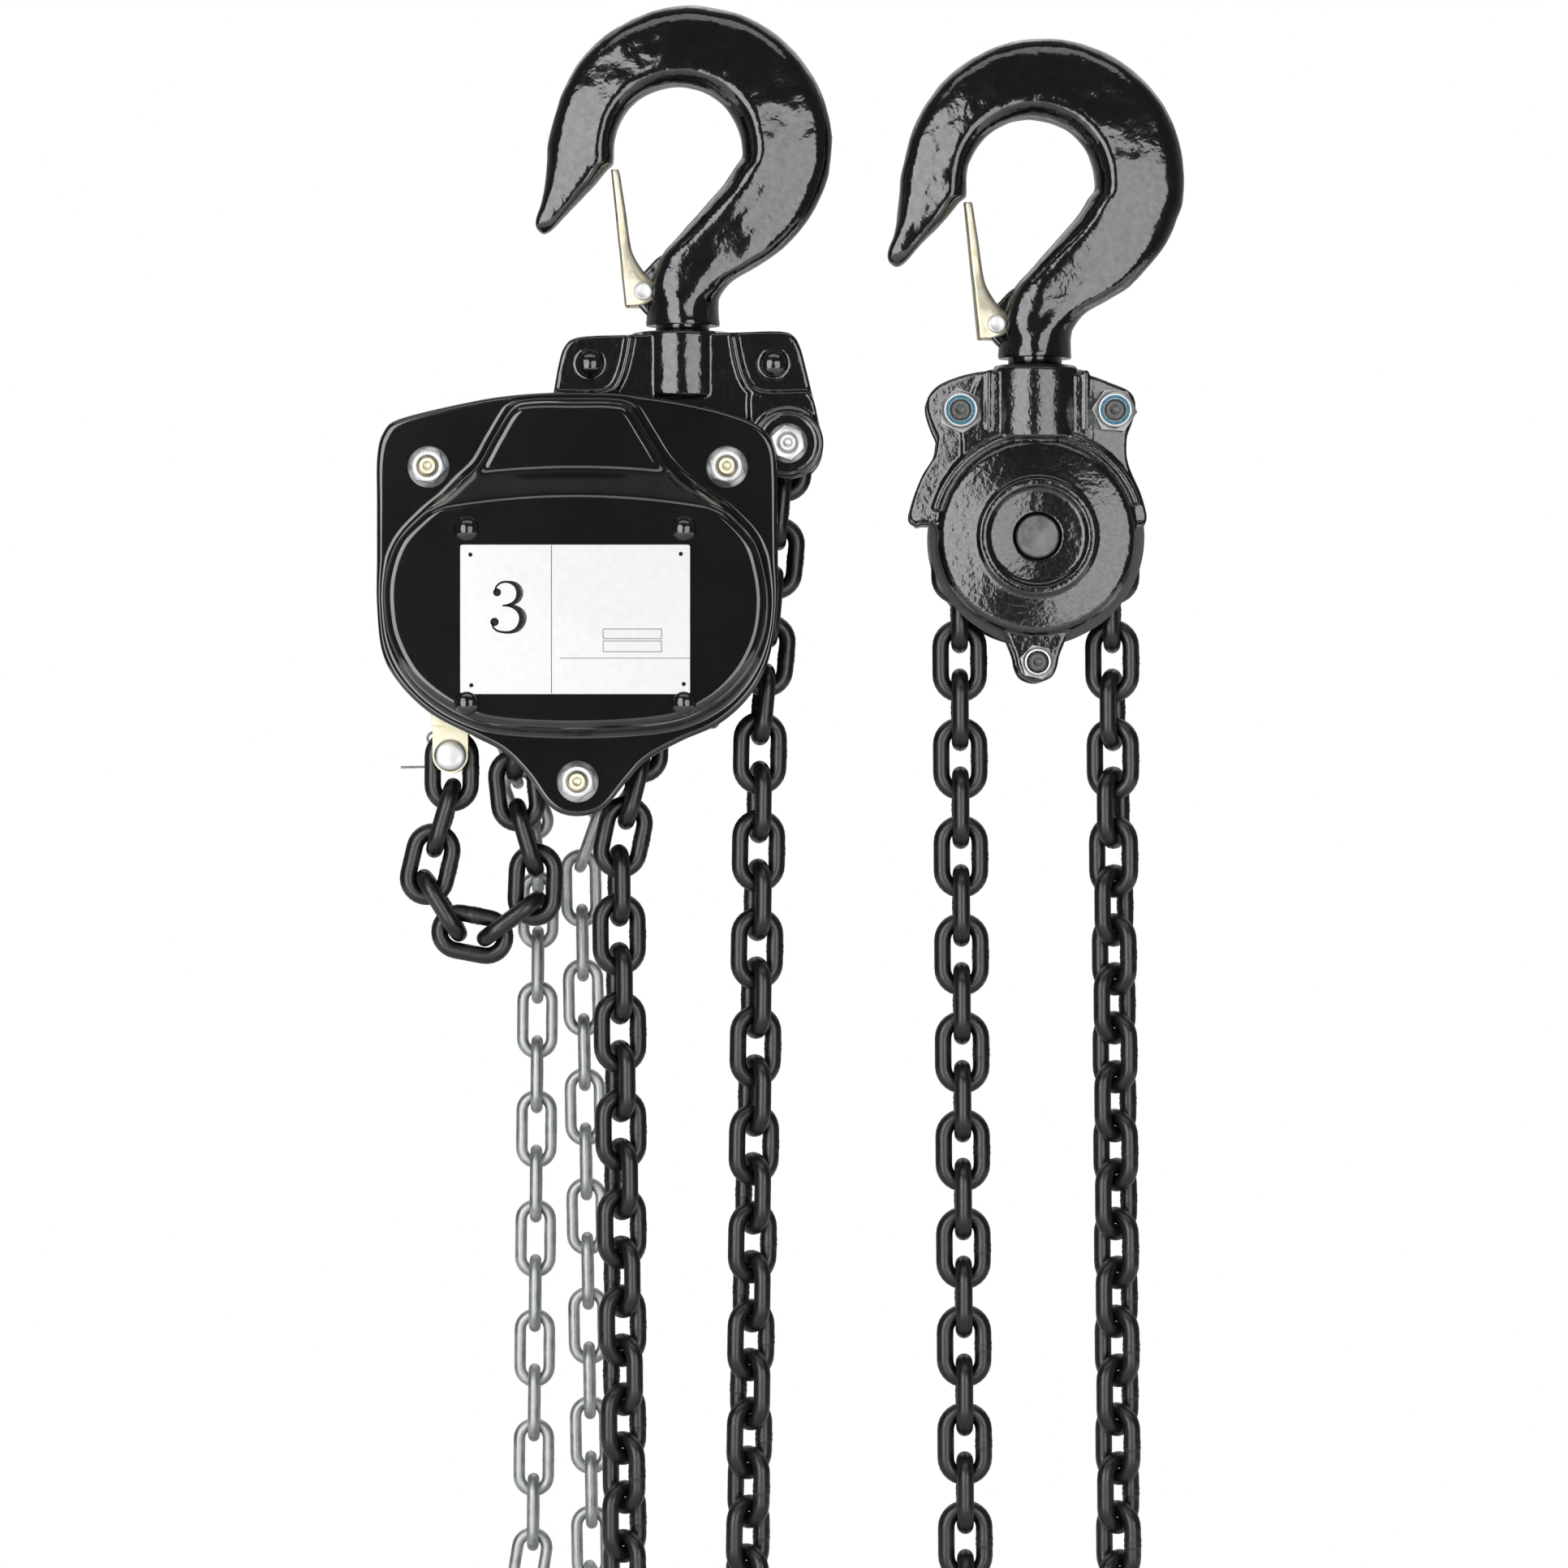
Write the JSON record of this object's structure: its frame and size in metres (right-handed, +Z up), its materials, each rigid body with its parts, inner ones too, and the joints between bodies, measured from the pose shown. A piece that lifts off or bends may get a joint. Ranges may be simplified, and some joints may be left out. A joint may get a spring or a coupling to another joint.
{
  "type": "hand chain hoist",
  "caption": "Manual chain hoist head with swivel top hook, geared load sheave and hand wheel, and a two-fall lower hook block on black load chain, hung side by side.",
  "frame": {"origin": "seat of the top hook, the top of its bowl", "axes": "+Z up, +X to the right of the gear cover seen from the front, -Y out of the gear cover"},
  "size_m": [0.341, 0.1506, 0.8656],
  "materials": {
    "black_paint": "gloss black paint",
    "black_chain": "black finished alloy steel",
    "bright_zinc": "bright zinc plated",
    "yellow_zinc": "yellow passivated zinc",
    "white_paint": "white enamelled sheet",
    "machined_steel": "machined steel",
    "friction_lining": "moulded brake lining",
    "spring_steel": "spring wire"
  },
  "bodies": {
    "hoist_body": {"yoke_front_half": "black_paint", "yoke_rear_half": "black_paint", "yoke_rivets": "black_paint", "suspension_pin": "bright_zinc", "anchor_bolt": "bright_zinc", "side_plate_front": "black_paint", "side_plate_rear": "black_paint", "stay_studs": "bright_zinc", "cover_nuts": "bright_zinc", "gear_cover": "black_paint", "cover_bearing_plate": "machined_steel", "cover_rivets": "black_paint", "rating_plate": "white_paint", "wheel_cover": "black_paint", "sheave_bearings": "machined_steel", "pawl_pins": "bright_zinc", "pawl_spring_1": "spring_steel", "pawl_spring_2": "spring_steel", "guide_roller_pins": "bright_zinc", "chain_stripper": "yellow_zinc", "tail_bracket": "yellow_zinc", "tail_pin": "bright_zinc", "load_chain_falls": "black_chain", "load_chain_slack_loop": "black_chain", "load_chain_bights": "black_chain", "load_chain_on_load_sheave": "black_chain", "hand_chain_falls": "bright_zinc", "hand_chain_on_wheel": "bright_zinc"},
    "top_hook": {"top_hook": "black_paint", "top_latch_pin": "bright_zinc", "top_latch_spring": "spring_steel"},
    "top_latch": {"top_latch": "yellow_zinc"},
    "hand_wheel_shaft": {"hand_wheel": "yellow_zinc", "wheel_nut": "bright_zinc", "pinion_shaft": "machined_steel", "brake_hub": "machined_steel", "friction_discs": "friction_lining"},
    "disc_gear_left": {"disc_gear_left": "machined_steel", "second_pinion_left": "machined_steel"},
    "disc_gear_right": {"disc_gear_right": "machined_steel", "second_pinion_right": "machined_steel"},
    "load_sheave": {"load_sheave": "machined_steel", "load_gear": "machined_steel"},
    "ratchet_disc": {"ratchet_disc": "machined_steel"},
    "pawl_1": {"pawl_1": "machined_steel"},
    "pawl_2": {"pawl_2": "machined_steel"},
    "guide_roller_left": {"guide_roller_left": "machined_steel"},
    "guide_roller_right": {"guide_roller_right": "machined_steel"},
    "lower_block": {"block_plate_front": "black_paint", "block_plate_rear": "black_paint", "block_axle": "machined_steel", "block_bolts": "bright_zinc", "load_chain_on_block_sheave": "black_chain", "load_chain_block_falls": "black_chain"},
    "block_sheave": {"block_sheave": "machined_steel"},
    "lower_hook": {"lower_hook": "black_paint", "lower_latch_pin": "bright_zinc", "lower_latch_spring": "spring_steel"},
    "lower_latch": {"lower_latch": "yellow_zinc"}
  },
  "joints": [
    {"name": "top_hook_swivel", "type": "hinge", "parent": "hoist_body", "child": "top_hook", "pos_m": [0, 0, -0.118], "axis": [0, 0, 1], "continuous": true},
    {"name": "top_latch_hinge", "type": "hinge", "parent": "top_hook", "child": "top_latch", "pos_m": [-0.0165, 0, -0.0874], "axis": [0, 1, 0], "range_deg": [0, 38], "stiffness_Nm_per_rad": 0.06, "springref_deg": -28.65, "deforming": ["top_latch_spring"]},
    {"name": "hand_wheel_turn", "type": "hinge", "parent": "hoist_body", "child": "hand_wheel_shaft", "pos_m": [-0.0435, 0, -0.226], "axis": [0, -1, 0], "continuous": true, "deforming": ["hand_chain_on_wheel", "hand_chain_falls"]},
    {"name": "disc_gear_left_turn", "type": "hinge", "parent": "hoist_body", "child": "disc_gear_left", "pos_m": [-0.0835, 0, -0.226], "axis": [0, -1, 0], "continuous": true},
    {"name": "disc_gear_right_turn", "type": "hinge", "parent": "hoist_body", "child": "disc_gear_right", "pos_m": [-0.0035, 0, -0.226], "axis": [0, -1, 0], "continuous": true},
    {"name": "load_sheave_turn", "type": "hinge", "parent": "hoist_body", "child": "load_sheave", "pos_m": [-0.0435, 0, -0.226], "axis": [0, -1, 0], "continuous": true, "deforming": ["load_chain_on_load_sheave", "load_chain_falls", "load_chain_slack_loop"]},
    {"name": "ratchet_turn", "type": "hinge", "parent": "hoist_body", "child": "ratchet_disc", "pos_m": [-0.0435, 0.035, -0.226], "axis": [0, -1, 0], "range_deg": [0, 22]},
    {"name": "pawl_1_lift", "type": "hinge", "parent": "hoist_body", "child": "pawl_1", "pos_m": [0.00349, 0.035, -0.24394], "axis": [0, 1, 0], "range_deg": [0, 12], "deforming": ["pawl_spring_1"]},
    {"name": "pawl_2_lift", "type": "hinge", "parent": "hoist_body", "child": "pawl_2", "pos_m": [-0.09049, 0.035, -0.20806], "axis": [0, 1, 0], "range_deg": [0, 12], "deforming": ["pawl_spring_2"]},
    {"name": "guide_roller_left_turn", "type": "hinge", "parent": "hoist_body", "child": "guide_roller_left", "pos_m": [-0.0913, 0, -0.246], "axis": [0, -1, 0], "continuous": true},
    {"name": "guide_roller_right_turn", "type": "hinge", "parent": "hoist_body", "child": "guide_roller_right", "pos_m": [0.0043, 0, -0.246], "axis": [0, -1, 0], "continuous": true},
    {"name": "lower_block_travel", "type": "slide", "parent": "hoist_body", "child": "lower_block", "axis": [0, 0, 1], "range_m": [0, 0.03], "deforming": ["load_chain_bights"]},
    {"name": "block_sheave_turn", "type": "hinge", "parent": "lower_block", "child": "block_sheave", "pos_m": [0.1495, 0, -0.1917], "axis": [0, -1, 0], "continuous": true, "deforming": ["load_chain_on_block_sheave", "load_chain_block_falls"]},
    {"name": "lower_hook_swivel", "type": "hinge", "parent": "lower_block", "child": "lower_hook", "pos_m": [0.1495, 0, -0.1318], "axis": [0, 0, 1], "continuous": true},
    {"name": "lower_latch_hinge", "type": "hinge", "parent": "lower_hook", "child": "lower_latch", "pos_m": [0.133, 0, -0.1012], "axis": [0, 1, 0], "range_deg": [0, 38], "stiffness_Nm_per_rad": 0.06, "springref_deg": -28.65, "deforming": ["lower_latch_spring"]}
  ],
  "couplings": [
    {"joint": "disc_gear_left_turn", "follows": "hand_wheel_turn", "ratio": -0.23077},
    {"joint": "disc_gear_right_turn", "follows": "hand_wheel_turn", "ratio": -0.23077},
    {"joint": "load_sheave_turn", "follows": "hand_wheel_turn", "ratio": 0.076923},
    {"joint": "pawl_1_lift", "follows": "ratchet_turn", "ratio": 0.45},
    {"joint": "pawl_2_lift", "follows": "ratchet_turn", "ratio": 0.45}
  ]
}
